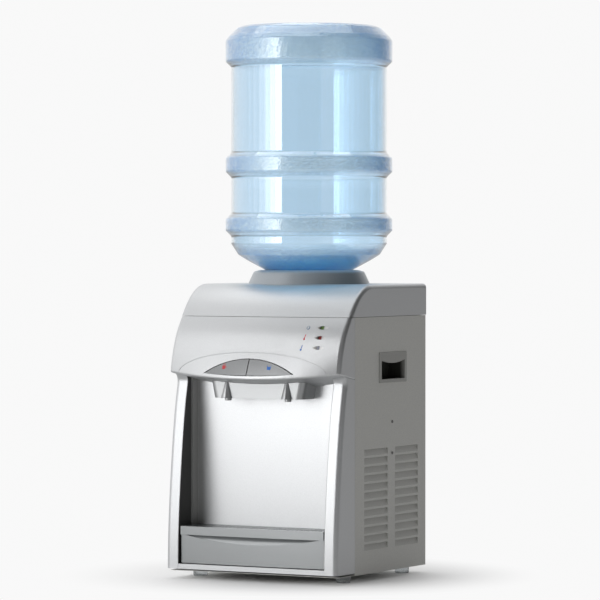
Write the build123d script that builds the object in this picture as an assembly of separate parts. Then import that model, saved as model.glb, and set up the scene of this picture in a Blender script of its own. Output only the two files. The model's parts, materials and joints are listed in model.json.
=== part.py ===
from build123d import *
import os
from math import cos, hypot, pi, radians, sin

os.makedirs("parts", exist_ok=True)

# A countertop hot and cold water dispenser with its upturned bottle. Millimetres.
# X is to the right, Z is up from the floor. The shapes below measure Y back from the
# bottle's axis, and save() moves them so that Y is 0 at the middle of the whole object.

FRONT_REACH = 205.0  # bottle axis to the brow's furthest point
REAR_REACH = 135.0  # bottle axis to the bottle's own back, which overhangs the cabinet
AXIS_Y = (FRONT_REACH - REAR_REACH) / 2

HALF_WIDTH = 154.8
PANEL_FRONT = -129.4  # where the side panels meet the front moulding
REAR = 111.0
BASE_Z = 12.0
SPLIT_Z = 418.0  # seam between the cabinet and the lid
LID_TOP = 469.0
LID_OVERHANG = 0.8
SHEET = 1.0  # sheet-steel thickness
WALL = 2.5  # moulded wall thickness
SEAM = 0.3  # half the width of a visible seam

# Front of the head as (y at its sides, z, how far its middle bulges forward)
HEAD_PROFILE = [
    (-180.0, 328.8, 26.3),
    (-176.5, 350.0, 17.0),
    (-171.0, 370.0, 12.5),
    (-161.5, 393.0, 11.0),
    (-142.6, 421.0, 11.5),
    (-117.4, 450.0, 13.5),
    (-95.0, 464.2, 15.5),
    (-72.0, LID_TOP, 16.5),
]
BROW_SAG = 9.0  # the brow's lower edge hangs this much lower in the middle
BROW_LIP_R = 3.5
SOFFIT_Z = 320.0  # the brow's underside where it meets the niche back, at its sides
SOFFIT_SAG = 16.0
HEAD_EDGE_R = 7.0

# Front edge of the posts beside the niche as (y, z)
POST_PROFILE = [(-190.7, 16), (-188.2, 93), (-180.5, 179), (-171.0, 255), (-161.2, 306), (-160.2, 316)]
POST_PROFILE += [(-163.2, 322), (-169.5, 326.2), (-180, 330)]  # a cove under the brow
POST_INNER_X = 132.3
POST_BACK = -150.0
NICHE_BACK = -129.0
RAIL_Z = (16.0, 24.0)
RAIL_BACK = -170.0

TRAY_HALF = 130.0
TRAY_FRONT = -189.0
TRAY_Z = (25.4, 84.0)
TRAY_LIP = 2.2  # how far the lip stands proud
TRAY_LIP_Z = (70.5, 58.5)  # the lip's lower edge, and the scoop's lowest point
SCOOP_DEPTH = 7.0

TAP_X = 54.5
TAP_Y = -165.7
TAP_FRONT = -170.0
TAP_BOTTOM = 289.0
TAP_HALF = (81.0, 88.5)  # half its width at the bottom and at the top
SPOUT_Y = (-171.5, -169.0)  # axis of each spout's foot and tip
SPOUT_R = (8.6, 2.6)
SPOUT_TOP = 317.0
NOZZLE_R = 5.4
NOZZLE_STEM_R = 2.9
NOZZLE_BORE_R = 1.8
NOZZLE_TIP = 285.0
NOZZLE_STEP = 297.0
VALVE_Z = 334.5
BRACKET_Z = (326.2, 327.4)

BUTTON_HALF = 79.0
BUTTON_Z = (329.0, 326.6, 352.0)  # tips, middle of the lower edge, middle of the upper edge
BUTTON_GAP = 1.0
GUIDE_X = 18.0
GUIDE_Z = 338.0

LENS_X = 114.5
LENS_Z = (371.0, 386.5, 402.0)  # cooling, heating, power

HANDLE_Y = -3.2
HANDLE_FRAME = (93.0, 49.0)
HANDLE_MID_Z = 336.5
HANDLE_OPEN = (78.8, 318.0, 348.4, 343.4)  # width, bottom, top at the ends, top in the middle
HANDLE_DEPTH = 30.0

LOUVRE_COLUMNS = (-59.8, 44.3)
LOUVRE_LENGTH = 79.0
LOUVRE_TOP = 208.8
LOUVRE_PITCH = 13.63
LOUVRE_ROWS = 12
LOUVRE_HEIGHT = 10.0
LOUVRE_DEPTH = 3.2
SIDE_SCREWS_Y = -4.8
SIDE_SCREWS_Z = (249.5, 199.4)

FEET_XY = [(x, y) for x in (-131, 131) for y in (-124, 74)]

TANK_R = 62.0
TANK_Z = (288.0, 392.0)
COOLER_Z = 335.0
HOT_TANK = (-70.0, -45.0)
HOT_TANK_R = 42.0
HOT_TANK_Z = (110.0, 210.0)
HOT_INLET_Z = 140.0
TUBE_R = 4.0
DRAIN = (-70.0, 60.0)
DRAIN_CAP_END = 120.8
INLET = (75.0, 60.0)
SWITCHES_X = {"cold": 25.0, "hot": -10.0}
SWITCH_Z = 60.0
SWITCH_TILT = 7.0

BOTTLE_R = 135.0
BOTTLE_GROOVE_R = 126.0
BOTTLE_BANDS = [(555, 573.7), (650, 672), (828, 859.8)]
BOTTLE_TOP = 888.0
BOTTLE_WALL = 1.4
NECK_R = 27.5
NECK_Z = (398.0, 466.5)
COLLAR_MOUTH = (71.0, 491.3)  # radius and height where the bottle enters the collar
FUNNEL_GAP = 0.7


def save(name, *solids):
    placed = [Pos(0, AXIS_Y, 0) * solid for shape in solids for solid in shape.solids()]
    export_step(placed[0] if len(placed) == 1 else Compound(children=placed), f"parts/{name}.step")


def block(x, y, z):
    """A box between low and high corners given as ranges."""
    size = [high - low for low, high in (x, y, z)]
    middle = [(high + low) / 2 for low, high in (x, y, z)]
    return Pos(*middle) * Box(*size)


def disc(x, y, z, radius):
    """An upright cylinder over the range z."""
    return Pos(x, y, (z[0] + z[1]) / 2) * Cylinder(radius, z[1] - z[0])


def rod(x, y, z, radius):
    """A cylinder that lies along Y over the range y."""
    return Pos(x, (y[0] + y[1]) / 2, z) * Rot(90, 0, 0) * Cylinder(radius, y[1] - y[0])


def pin(x, y, z, radius):
    """A cylinder that lies along X over the range x."""
    return Pos((x[0] + x[1]) / 2, y, z) * Rot(0, 90, 0) * Cylinder(radius, x[1] - x[0])


def lathe(points):
    """A closed outline of (radius, z) points, turned about Z."""
    outline = make_face(Plane.XZ * Polyline(*points, close=True))
    return revolve(outline, Axis.Z)


def front_prism(outline, y):
    """An (x, z) outline pushed along Y over the range y."""
    face = make_face(Plane.XZ.offset(-y[0]) * outline)
    return extrude(face, y[1] - y[0], dir=(0, 1, 0))


def hose(*points, bend=14.0):
    """A flexible tube through points, with round bends."""
    path = FilletPolyline(*points, radius=bend)
    ring = Plane(path @ 0, z_dir=path % 0) * Circle(TUBE_R)
    bore = Plane(path @ 0, z_dir=path % 0) * Circle(TUBE_R - 1.2)
    return sweep(ring, path) - sweep(bore, path)


# ---------------------------------------------------------------- outer casing


def head_section(across, half, inset):
    """The head's side view at a place across it, from -1 to 1, inset from the outer skin."""
    bulge = 1 - across * across
    points = [(y - reach * bulge, z) for y, z, reach in HEAD_PROFILE]
    points[0] = (points[0][0], points[0][1] - BROW_SAG * bulge)
    moved = []
    for i, (y, z) in enumerate(points):
        before = points[max(i - 1, 0)]
        after = points[min(i + 1, len(points) - 1)]
        dy = after[0] - before[0]
        dz = after[1] - before[1]
        length = hypot(dy, dz)
        moved.append((y + inset * dz / length, z - inset * dy / length))
    moved[0] = (moved[0][0], moved[0][1] + inset)
    moved[-1] = (points[-1][0], LID_TOP - inset)
    rear = REAR + LID_OVERHANG - inset
    floor = SOFFIT_Z - SOFFIT_SAG * bulge + inset
    back = Polyline(moved[-1], (rear, LID_TOP - inset), (rear, floor), (PANEL_FRONT, floor), moved[0])
    outline = Spline(*moved) + back
    return make_face(Plane.YZ.offset(across * (half - inset)) * outline)


def head(half, inset=0.0):
    """The whole head as one solid, from the brow's underside to the lid's top."""
    return loft([head_section(across, half, inset) for across in (-1, -0.5, 0, 0.5, 1)])


def rounded_head(half):
    """The head with its side edges and the brow's lower lip rounded."""
    solid = head(half)
    ends = solid.faces().filter_by(Axis.X, tolerance=0.01)
    edges = [edge for face in ends for edge in face.edges() if edge.center().Z > SOFFIT_Z + 20]
    edges = [edge for edge in edges if edge.center().Y < REAR - 5]
    solid = fillet(edges, HEAD_EDGE_R)
    lip = [edge for edge in solid.edges() if edge.center().Z < SOFFIT_Z + 5 and edge.center().Y < -185]
    return fillet(lip, BROW_LIP_R)


def button_outline(margin=0.0):
    """The lens-shaped outline of both buttons together, grown by margin."""
    tips, low, high = BUTTON_Z
    half = BUTTON_HALF + 3 * margin
    upper = ThreePointArc((-half, tips), (0, high + margin), (half, tips))
    lower = ThreePointArc((half, tips), (0, low - margin), (-half, tips))
    return upper + lower


def lens_outline(z, margin=0.0):
    """An almond-shaped indicator window."""
    half = 10.0 + 2 * margin
    rise = 2.9 + margin
    left = (LENS_X - half, z)
    right = (LENS_X + half, z)
    return ThreePointArc(left, (LENS_X, z + rise), right) + ThreePointArc(right, (LENS_X, z - rise), left)


def post():
    """The hollow upright on the right of the niche, with the strip beside it."""
    def side_view(inset, low, high):
        front = [(y + inset, z) for y, z in POST_PROFILE]
        back = PANEL_FRONT - SEAM
        return Spline(*front) + Polyline(front[-1], (back, high), (back, low), front[0])

    low = POST_PROFILE[0][1]
    high = POST_PROFILE[-1][1]
    face = make_face(Plane.YZ.offset(POST_INNER_X) * side_view(0, low, high))
    solid = extrude(face, HALF_WIDTH - POST_INNER_X, dir=(1, 0, 0))
    fronts = solid.edges().filter_by(lambda e: e.length > 300 and e.center().Y < POST_BACK)
    outer = [e for e in fronts if e.center().X > HALF_WIDTH - 1]
    solid = fillet(outer, HEAD_EDGE_R)
    fronts = solid.edges().filter_by(lambda e: e.length > 300 and e.center().Y < POST_BACK)
    inner = [e for e in fronts if e.center().X < POST_INNER_X + 1]
    solid = fillet(inner, 1.5)
    hollow_face = make_face(Plane.YZ.offset(POST_INNER_X + WALL) * side_view(WALL, low, high))
    hollow = extrude(hollow_face, HALF_WIDTH - POST_INNER_X - 2 * WALL, dir=(1, 0, 0))
    behind = block((POST_INNER_X - 1, HALF_WIDTH - WALL), (POST_BACK, PANEL_FRONT), (0, high + 1))
    return solid - hollow - behind


def brow_groove():
    """The shallow line that arches over the buttons."""
    def arch(lift):
        turns = [radians(t) for t in range(-84, 85, 12)]
        return Spline(*[(135 * sin(t), 327 + lift + 35.5 * cos(t)) for t in turns])

    outer = arch(0.5)
    inner = arch(-0.5)
    ends = Line(outer @ 0, inner @ 0) + Line(outer @ 1, inner @ 1)
    band = front_prism(outer + inner + ends, (-215, -150))
    return band & (head(HALF_WIDTH, -1.0) - head(HALF_WIDTH, 0.6))


def front_panel():
    fascia_room = block((-200, 200), (-220, PANEL_FRONT - SEAM), (300, SPLIT_Z - SEAM))
    fascia = (rounded_head(HALF_WIDTH) & fascia_room) - head(HALF_WIDTH, WALL)
    right = post() - head(HALF_WIDTH)
    rail = block((-POST_INNER_X - 1, POST_INNER_X + 1), (-190.4, RAIL_BACK), RAIL_Z)
    panel = fascia + right + mirror(right, about=Plane.YZ) + rail
    panel -= front_prism(button_outline(BUTTON_GAP), (-215, -180))
    panel -= brow_groove()
    for z in LENS_Z:
        panel -= front_prism(lens_outline(z), (-215, -140))
    for x in (-TAP_X, TAP_X):
        panel -= disc(x, TAP_Y, (300, 331), NOZZLE_STEM_R + 1.0)
    return panel


def top_lid():
    lid_room = block((-200, 200), (-220, 200), (SPLIT_Z + SEAM, LID_TOP + 5))
    half = HALF_WIDTH + LID_OVERHANG
    lid = (rounded_head(half) & lid_room) - head(half, WALL)
    return lid - disc(0, 0, (LID_TOP - 10, LID_TOP + 5), 80)


def louvres(side, width, opening):
    """One row of louvre wedges per column, pressed into the panel at x = side."""
    wedges = []
    for y in LOUVRE_COLUMNS:
        for row in range(LOUVRE_ROWS):
            top = LOUVRE_TOP - row * LOUVRE_PITCH
            low = top - LOUVRE_HEIGHT
            if opening:
                points = [(side + 1, low), (side, low), (side - LOUVRE_DEPTH, top), (side + 1, top)]
            else:
                back = side - SHEET
                points = [(back, low - 1), (back - LOUVRE_DEPTH, top), (side - SHEET / 2, top)]
            face = make_face(Plane.XZ.offset(-y + width / 2) * Polyline(*points, close=True))
            wedges.append(extrude(face, width, dir=(0, 1, 0)))
    return wedges


def side_panel():
    """The right side panel: a louvred sheet with a return flange along its front edge."""
    sheet = block((HALF_WIDTH - SHEET, HALF_WIDTH), (PANEL_FRONT, REAR), (BASE_Z, SPLIT_Z - SEAM))
    flange_z = (BASE_Z + 2, SPLIT_Z - 2)
    flange = block((HALF_WIDTH - 11, HALF_WIDTH), (PANEL_FRONT, PANEL_FRONT + SHEET), flange_z)
    panel = sheet + flange
    panel += louvres(HALF_WIDTH, LOUVRE_LENGTH + 2 * SHEET, False)
    panel -= louvres(HALF_WIDTH, LOUVRE_LENGTH, True)
    half = HANDLE_OPEN[0] / 2 + 3
    panel -= block((140, 160), (HANDLE_Y - half, HANDLE_Y + half), (HANDLE_OPEN[1] - 3, HANDLE_OPEN[2] + 5))
    for z in SIDE_SCREWS_Z:
        panel -= pin((140, 160), SIDE_SCREWS_Y, z, 1.6)
    return panel


def handle():
    """The right recessed handle: a frame on the panel with a finger cup behind it."""
    width, low, high, middle = HANDLE_OPEN
    length, tall = HANDLE_FRAME
    half = width / 2
    frame = Pos(HALF_WIDTH + 0.65, HANDLE_Y, HANDLE_MID_Z) * Box(1.2, length, tall)
    frame = fillet(frame.edges().filter_by(Axis.X), 2.0)
    frame = chamfer(frame.faces().sort_by(Axis.X)[-1].edges(), 0.5)
    cup = block((HALF_WIDTH - HANDLE_DEPTH, HALF_WIDTH + 0.2),
                (HANDLE_Y - half - 2, HANDLE_Y + half + 2), (low - 2, high + 4))
    cup -= block((HALF_WIDTH - HANDLE_DEPTH + 2, HALF_WIDTH - 2.0),
                 (HANDLE_Y - half, HANDLE_Y + half), (low, high + 2))
    sides = Polyline((-half, high), (-half, low), (half, low), (half, high))
    mouth = make_face(sides + ThreePointArc((half, high), (0, middle), (-half, high)))
    face = Plane((HALF_WIDTH - 4, HANDLE_Y, 0), x_dir=(0, 1, 0), z_dir=(1, 0, 0)) * mouth
    return (frame + cup) - extrude(face, 10, dir=(1, 0, 0))


def side_screws():
    screws = []
    for side in (-1, 1):
        for z in SIDE_SCREWS_Z:
            shank = pin(sorted((side * 143, side * (HALF_WIDTH + 0.1))), SIDE_SCREWS_Y, z, 1.5)
            cap = pin(sorted((side * HALF_WIDTH, side * (HALF_WIDTH + 0.9))), SIDE_SCREWS_Y, z, 2.3)
            screws.append(shank + cap)
    return screws


def base_plate():
    inside = HALF_WIDTH - SHEET - 0.2
    plate = block((-inside, inside), (-178, REAR - 1.5), (BASE_Z, BASE_Z + SHEET))
    for side in (-1, 1):
        rim = sorted((side * inside, side * (inside - SHEET)))
        plate += block(rim, (PANEL_FRONT + 2, REAR - 1.5), (BASE_Z, BASE_Z + 10))
    slots = [block((x - 20, x + 20), (y - 2, y + 2), (BASE_Z - 1, BASE_Z + 2))
             for x in (-60, 0, 60) for y in range(40, 91, 10)]
    return plate - slots


def feet():
    return [chamfer(disc(x, y, (0, BASE_Z), 11.5).edges(), 1.2) for x, y in FEET_XY]


def rear_panel():
    inside = HALF_WIDTH - SHEET - 0.2
    panel = block((-inside, inside), (REAR - SHEET, REAR), (BASE_Z + 0.3, SPLIT_Z - SEAM))
    for side in (-1, 1):
        fold = sorted((side * inside, side * (inside - SHEET)))
        panel += block(fold, (REAR - 13, REAR), (BASE_Z + 12, SPLIT_Z - SEAM))
    fan_slots = []
    for row in range(-5, 6):
        z = COOLER_Z + row * 8
        half = (44 * 44 - (row * 8) ** 2) ** 0.5 if abs(row * 8) < 43 else 0
        if half:
            fan_slots.append(block((-half, -2), (105, 115), (z - 2.2, z + 2.2)))
            fan_slots.append(block((2, half), (105, 115), (z - 2.2, z + 2.2)))
    low_slots = [block((x - 22, x + 22), (105, 115), (z - 2.2, z + 2.2))
                 for x in (-90, 0, 90) for z in range(120, 241, 12)]
    panel -= fan_slots + low_slots
    panel -= rod(DRAIN[0], (105, 115), DRAIN[1], 6.5)
    panel -= block((INLET[0] - 14.5, INLET[0] + 14.5), (105, 115), (INLET[1] - 11.5, INLET[1] + 11.5))
    for x in SWITCHES_X.values():
        panel -= block((x - 7.5, x + 7.5), (105, 115), (SWITCH_Z - 11.5, SWITCH_Z + 11.5))
    for x, z in rear_screw_places():
        panel -= rod(x, (105, 115), z, 1.7)
    return panel


def rear_screw_places():
    return [(x, z) for x in (-140, 140) for z in (40, 220, 400)]


def rear_screws():
    return [rod(x, (REAR - 13, REAR + 0.1), z, 1.6) + rod(x, (REAR, REAR + 1.4), z, 3.2)
            for x, z in rear_screw_places()]


def niche_liner():
    """The cup niche: a back, two cheeks with a raised seam, and the floor under the tray."""
    outer_x = POST_INNER_X + WALL
    floor_z = (RAIL_Z[1] - 3, RAIL_Z[1])
    liner = block((-outer_x, outer_x), (NICHE_BACK, NICHE_BACK + 2), (floor_z[0], SOFFIT_Z - 0.4))
    liner += block((-POST_INNER_X + 0.3, POST_INNER_X - 0.3), (RAIL_BACK + SEAM, NICHE_BACK + 1), floor_z)
    ceiling = head(HALF_WIDTH, -0.2)
    for side in (-1, 1):
        cheek = sorted((side * POST_INNER_X, side * outer_x))
        ridge = sorted((side * (POST_INNER_X - 1.6), side * outer_x))
        wall = block(cheek, (POST_BACK + SEAM, NICHE_BACK), (RAIL_Z[1], SOFFIT_Z + 2))
        wall += block(ridge, (-148.5, -146), (TRAY_Z[1] + 1, SOFFIT_Z + 2))
        liner += wall - ceiling
    return liner


# ---------------------------------------------------------------- taps and buttons


def tap_housing():
    """The cover that hangs below the brow, with a half-cone spout over each nozzle."""
    def cover(inset):
        foot, top = TAP_HALF
        low = Plane.XY.offset(TAP_BOTTOM + inset) * cover_plan(foot - inset, inset)
        high = Plane.XY.offset(SOFFIT_Z + 4) * cover_plan(top - inset, inset)
        return loft([low, high])

    def cover_plan(half, inset):
        front = TAP_FRONT + inset
        plan = Pos(0, (front + NICHE_BACK) / 2) * Rectangle(2 * half, NICHE_BACK - front)
        return fillet(plan.vertices().group_by(Axis.Y)[0], 12.0 - inset)

    def spout(x):
        foot = Pos(x, SPOUT_Y[0], TAP_BOTTOM) * Circle(SPOUT_R[0])
        tip = Pos(x, SPOUT_Y[1], SPOUT_TOP) * Circle(SPOUT_R[1])
        return loft([foot, tip])

    shell = cover(0) + [spout(x) for x in (-TAP_X, TAP_X)]
    shell -= cover(2.0) & block((-200, 200), (TAP_FRONT + 2, NICHE_BACK), (280, 340))
    for x in (-TAP_X, TAP_X):
        shell -= disc(x, TAP_Y, (280, NOZZLE_STEP + 0.5), NOZZLE_R + 0.3)
        shell -= disc(x, TAP_Y, (280, 330), NOZZLE_STEM_R + 0.3)
    return shell - head(HALF_WIDTH, -0.2)


def nozzle(x):
    tube = chamfer(disc(x, TAP_Y, (NOZZLE_TIP, NOZZLE_STEP), NOZZLE_R).edges().group_by(Axis.Z)[0], 0.8)
    tube += disc(x, TAP_Y, (NOZZLE_STEP - 1, BRACKET_Z[1]), NOZZLE_STEM_R)
    tube -= disc(x, TAP_Y, (NOZZLE_TIP - 1, NOZZLE_STEP - 2), NOZZLE_R - 1.4)
    return tube - disc(x, TAP_Y, (NOZZLE_TIP - 1, BRACKET_Z[1] + 2), NOZZLE_BORE_R)


def tap_bracket():
    """The plate that carries the valves, with an ear that guides each button."""
    plate = block((-85, 85), (-180, -131), BRACKET_Z)
    for x in (-GUIDE_X, GUIDE_X):
        plate += block((x - 7, x + 7), (-180, -177.5), (BRACKET_Z[0], GUIDE_Z + 7))
        plate -= rod(x, (-182, -176), GUIDE_Z, 2.9)
    for x in (-TAP_X, TAP_X):
        plate -= disc(x, TAP_Y, (320, 330), NOZZLE_STEM_R + 0.1)
    for side in (-1, 1):
        plate += block(sorted((side * 83.8, side * 85)), (-178, -134), (308, BRACKET_Z[1]))
    return plate - head_soffit()


def head_soffit():
    """Everything below the inner face of the brow's underside."""
    outside = block((-200, 200), (-215, -125), (300, 340))
    return outside - head(HALF_WIDTH, WALL + 0.1)


def button(side):
    """Half of the lens: -1 for hot, 1 for cold. Its skin follows the fascia."""
    skin = head(HALF_WIDTH, -0.4) - head(HALF_WIDTH, 2.2)
    half_lens = front_prism(button_outline(), (-215, -185))
    half_lens &= block(sorted((side * 0.7, side * 100)), (-220, -180), (300, 370))
    plate = skin & half_lens
    stem = rod(side * TAP_X, (-200, -176.6), VALVE_Z, 3.2)
    guide = rod(side * GUIDE_X, (-202, -168), GUIDE_Z, 2.5)
    behind = head(HALF_WIDTH, 1.0)
    return plate + (stem & behind) + (guide & behind)


def plunger(x):
    stem = rod(x, (-176.3, -152), VALVE_Z, 2.4)
    return stem + rod(x, (-176.3, -174.8), VALVE_Z, 4.4)


def valve_body(x):
    body = rod(x, (-165.5, -138), VALVE_Z, 6.4)
    foot = block((x - 7, x + 7), (-172, -142), (BRACKET_Z[1], VALVE_Z - 5))
    body += foot
    body -= rod(x, (-167, -147.5), VALVE_Z, 2.6)
    return body - disc(x, TAP_Y, (BRACKET_Z[1] - 1, BRACKET_Z[1] + 1.2), NOZZLE_BORE_R)


def valve_springs():
    """Return springs, drawn at the length they have with the buttons pressed."""
    springs = []
    for x in (-TAP_X, TAP_X):
        path = Helix(1.2, 3.0, 3.4)
        wire = sweep(Plane(path @ 0, z_dir=path % 0) * Circle(0.35), path)
        springs.append(Pos(x, -166.0, VALVE_Z) * Rot(90, 0, 0) * wire)
    return springs


def indicator_lens(z):
    skin = head(HALF_WIDTH, 0.5) - head(HALF_WIDTH, WALL + 0.6)
    return skin & front_prism(lens_outline(z, -0.15), (-215, -140))


def indicator_board():
    board = block((70, 126), (-150, -148.4), (362, 407))
    for z in LENS_Z:
        board += rod(LENS_X, (-153.5, -149), z, 2.5)
    return board


# ---------------------------------------------------------------- drip tray


def tray_outline(inset):
    """The tray's plan, with a gently bowed front."""
    half = TRAY_HALF - inset
    front = TRAY_FRONT + inset
    back = NICHE_BACK - 0.5 - inset
    sides = Polyline((-half, front + 4), (-half, back), (half, back), (half, front + 4))
    return make_face(sides + ThreePointArc((half, front + 4), (0, front), (-half, front + 4)))


def drip_tray():
    """An open tray with a proud lip along its front and a finger scoop under the lip."""
    lip_low, middle_low = TRAY_LIP_Z
    tray = extrude(Pos(0, 0, TRAY_Z[0]) * tray_outline(0), TRAY_Z[1] - TRAY_Z[0])
    lip = extrude(Pos(0, 0, lip_low) * tray_outline(-TRAY_LIP), TRAY_Z[1] - lip_low)
    tray += lip & block((-TRAY_HALF, TRAY_HALF), (TRAY_FRONT - 5, TRAY_FRONT + 6), (0, 100))
    inside = extrude(Pos(0, 0, TRAY_Z[0] + 2.5) * tray_outline(3.0), 80)
    tray -= inside
    grip = block((-126, 126), (TRAY_FRONT, TRAY_FRONT + SCOOP_DEPTH + 3), (middle_low - 5, lip_low + 4))
    tray += grip & inside
    ledge = extrude(Pos(0, 0, TRAY_Z[1] - 6.5) * tray_outline(2.0), 2.5)
    ledge -= extrude(Pos(0, 0, TRAY_Z[1] - 8) * tray_outline(7.0), 20)
    tray += ledge
    ends = (-123, lip_low), (123, lip_low)
    crescent = ThreePointArc(ends[0], (0, middle_low), ends[1]) + Line(ends[1], ends[0])
    under = front_prism(crescent, (TRAY_FRONT - 10, TRAY_FRONT + 10))
    slope = [(TRAY_FRONT + 0.5, middle_low), (TRAY_FRONT + SCOOP_DEPTH, lip_low)]
    outside = [(TRAY_FRONT - 10, lip_low), (TRAY_FRONT - 10, middle_low - 1)]
    slope_view = Plane.YZ.offset(-125) * Polyline(*slope, *outside, close=True)
    return tray - (under & extrude(make_face(slope_view), 250, dir=(1, 0, 0)))


def drip_grille():
    grille = extrude(Pos(0, 0, TRAY_Z[1] - 3.9) * tray_outline(3.4), 2.6)
    slots = [block((x - 1.6, x + 1.6), (-178, -137), (70, 90)) for x in range(-119, 120, 7)]
    return grille - slots


# ---------------------------------------------------------------- bottle and its seat


def bottle_outline():
    """(radius, z) down the outside of the bottle, from its upturned base to its mouth."""
    points = [(0, BOTTLE_TOP), (104, BOTTLE_TOP), (112, 883.5), (131.5, 865.5), (BOTTLE_R, 860)]
    for low, high in reversed(BOTTLE_BANDS):
        rise = 9.0
        if high < BOTTLE_BANDS[-1][1]:
            points += [(BOTTLE_GROOVE_R, high + rise), (BOTTLE_R, high)]
        points += [(BOTTLE_R, low), (BOTTLE_GROOVE_R, low - rise)]
    points += [(BOTTLE_GROOVE_R, 534), (114.4, 516), (100, 507), COLLAR_MOUTH]
    return points + [(NECK_R, NECK_Z[1]), (NECK_R, NECK_Z[0])]


def bottle():
    outside = bottle_outline()
    inside = [(max(r - BOTTLE_WALL, 0), z - BOTTLE_WALL if z > 880 else z) for r, z in outside]
    inside = [(r, z + 1.0 if z < 520 and r > NECK_R else z) for r, z in inside]
    return lathe(outside + inside[::-1])


def bottle_cap():
    cap = disc(0, 0, (NECK_Z[0] - 1.5, 419), NECK_R + 1.7) - disc(0, 0, (NECK_Z[0], 420), NECK_R)
    return cap - disc(0, 0, (390, 400), 9.0)


def bottle_collar():
    """The ring on the lid whose funnel and neck take the bottle. Its skirt follows the lid."""
    mouth_r, mouth_z = COLLAR_MOUTH
    skirt_z = LID_TOP - 10
    funnel = [(mouth_r + 2.2, mouth_z - 0.3), (NECK_R + 3, NECK_Z[1] + 1.0 - FUNNEL_GAP), (NECK_R + 3, 390)]
    under = [(NECK_R + 5.4, 390), (NECK_R + 5.4, NECK_Z[1] - 2.0), (mouth_r + 4, mouth_z - 4.0)]
    outer = [(86.5, 483.8), (99.2, skirt_z), (102.9, skirt_z), (90.3, 486.6), (88.5, 488.6), (80, 491.0)]
    lid_skin = head(HALF_WIDTH + LID_OVERHANG, -0.05) - disc(0, 0, (300, 480), 84)
    return lathe(funnel + under + outer) - lid_skin


def collar_seal():
    return Pos(0, 0, TANK_Z[1] + 3.9) * Torus(NECK_R + 7.0, 1.4)


def feed_spike():
    """The spigot that opens the bottle's cap, on a slotted disc in the collar's neck."""
    spike = disc(0, 0, (391, 394), NECK_R + 2.9) + disc(0, 0, (392, 432), 8.0)
    spike -= disc(0, 0, (380, 428), 5.0)
    spike -= pin((-20, 20), 0, 418, 3.0)
    slots = [disc(19 * cos(k * pi / 3), 19 * sin(k * pi / 3), (380, 396), 4.0) for k in range(6)]
    return spike - slots


# ---------------------------------------------------------------- cold side


def cold_tank():
    low, high = TANK_Z
    tank = disc(0, 0, (low, high), TANK_R) - disc(0, 0, (low + 1, high + 1), TANK_R - 1)
    for x, y in ((35, -25), (-35, 25)):
        tank += disc(x, y, (266, low + 0.5), TUBE_R)
        tank -= disc(x, y, (260, low + 2), TUBE_R - 1.2)
    return tank


def tank_baffle():
    return disc(0, 0, (TANK_Z[1], TANK_Z[1] + 2.5), TANK_R + 2) - disc(0, 0, (380, 400), NECK_R + 5.8)


def tank_foam():
    foam = disc(0, 0, (272, TANK_Z[1] - 0.5), 78) - disc(0, 0, (TANK_Z[0], 400), TANK_R + 0.2)
    foam -= block((-20.5, 20.5), (40, 90), (COOLER_Z - 20.5, COOLER_Z + 20.5))
    for x, y in ((35, -25), (-35, 25)):
        foam -= disc(x, y, (260, 300), TUBE_R + 0.2)
    return foam


def cooling_block():
    side = (COOLER_Z - 20, COOLER_Z + 20)
    return block((-20, 20), (40, 79), side) - disc(0, 0, (280, 400), TANK_R + 0.05)


def cooling_module():
    return block((-20, 20), (79, 83), (COOLER_Z - 20, COOLER_Z + 20))


def heat_sink():
    rise = (COOLER_Z - 45, COOLER_Z + 45)
    sink = block((-45, 45), (83, 87), rise)
    for k in range(12):
        x = -44 + k * 8
        sink += block((x - 0.8, x + 0.8), (87, 96.6), rise)
    return sink


def fan_frame():
    frame = block((-46, 46), (97.0, 109.4), (COOLER_Z - 46, COOLER_Z + 46))
    frame -= rod(0, (90, 120), COOLER_Z, 43.5)
    frame += rod(0, (107.6, 109.4), COOLER_Z, 15)
    spoke = block((-2, 2), (107.6, 109.4), (COOLER_Z, COOLER_Z + 44.5))
    for k in range(4):
        frame += Pos(0, 0, COOLER_Z) * Rot(0, 45 + 90 * k, 0) * Pos(0, 0, -COOLER_Z) * spoke
    return frame


def fan_rotor():
    rotor = rod(0, (98.4, 106.8), COOLER_Z, 15)
    blade = Pos(0, 102.6, COOLER_Z + 27.5) * Rot(0, 0, 26) * Box(15, 1.2, 28)
    for k in range(7):
        rotor += Pos(0, 0, COOLER_Z) * Rot(0, k * 360 / 7, 0) * Pos(0, 0, -COOLER_Z) * blade
    return rotor


# ---------------------------------------------------------------- hot side


def hot_tank():
    x, y = HOT_TANK
    low, high = HOT_TANK_Z
    tank = fillet(disc(x, y, (low, high), HOT_TANK_R).edges(), 6)
    for z in ((low - 4, low + 1), (high - 1, high + 4)):
        tank += disc(x, y, z, TUBE_R)
    tank += rod(x, (y + HOT_TANK_R - 1, y + HOT_TANK_R + 4), HOT_INLET_Z, TUBE_R)
    tank -= fillet(disc(x, y, (low + 1.2, high - 1.2), HOT_TANK_R - 1.2).edges(), 4.8)
    tank -= disc(x, y, (low - 5, high + 5), TUBE_R - 1.2)
    return tank - rod(x, (y, y + HOT_TANK_R + 5), HOT_INLET_Z, TUBE_R - 1.2)


def heater_band():
    x, y = HOT_TANK
    band = disc(x, y, (152, 184), HOT_TANK_R + 2.5) + block((x + 42, x + 52), (y - 8, y + 8), (160, 176))
    return band - disc(x, y, (150, 190), HOT_TANK_R + 0.05)


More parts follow.
